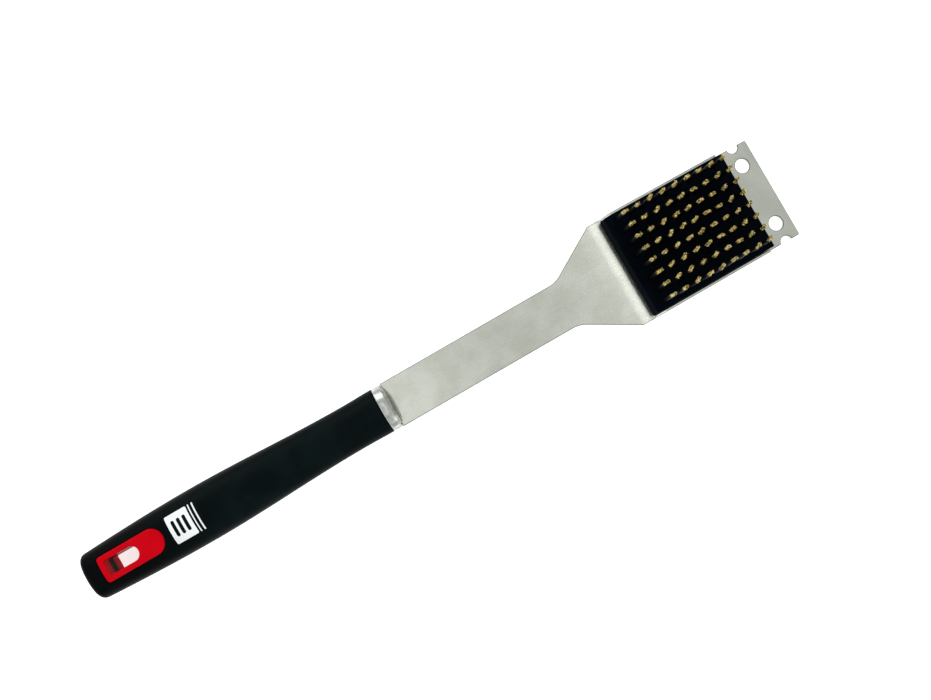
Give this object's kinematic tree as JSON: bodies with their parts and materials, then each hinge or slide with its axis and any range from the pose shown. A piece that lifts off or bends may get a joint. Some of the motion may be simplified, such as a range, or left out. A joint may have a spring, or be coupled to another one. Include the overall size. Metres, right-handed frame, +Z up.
{
  "type": "grill cleaning brush",
  "caption": "Long-handled grill brush with a flat steel neck, a brass bristle block in a folded tray, a notched scraper and a handle with a lined hanging slot.",
  "frame": {"origin": "middle of the brush's footprint, on the surface it lies on", "axes": "+X along the brush from the handle to the scraper, +Z up, which is the bristle side; the brush lies on its scraper edge and the underside of its handle"},
  "size_m": [0.4468, 0.064, 0.0406],
  "materials": {
    "stainless": "fine brushed stainless sheet",
    "polished_steel": "polished steel ring",
    "nose_steel": "satin steel cap",
    "black_grip": "satin black moulded plastic",
    "red_trim": "glossy red moulded plastic",
    "printed_white": "flat white pad print",
    "black_block": "dull black moulded plastic",
    "brass_wire": "drawn brass wire, darker towards the roots",
    "zinc_steel": "zinc-plated steel"
  },
  "bodies": {
    "root": {"steel_blade": "stainless", "ferrule": "polished_steel", "ferrule_nose": "nose_steel", "handle_upper_shell": "black_grip", "handle_lower_shell": "black_grip", "hang_eye_upper": "red_trim", "hang_eye_lower": "red_trim", "tang_pin_front": "zinc_steel", "tang_pin_rear": "zinc_steel", "bristle_block": "black_block", "bristle_row_1": "brass_wire", "bristle_row_2": "brass_wire", "bristle_row_3": "brass_wire", "bristle_row_4": "brass_wire", "bristle_row_5": "brass_wire", "bristle_row_6": "brass_wire", "bristle_row_7": "brass_wire", "bristle_row_8": "brass_wire", "block_screw_1": "zinc_steel", "block_screw_2": "zinc_steel", "block_screw_3": "zinc_steel", "block_screw_4": "zinc_steel"}
  },
  "joints": []
}
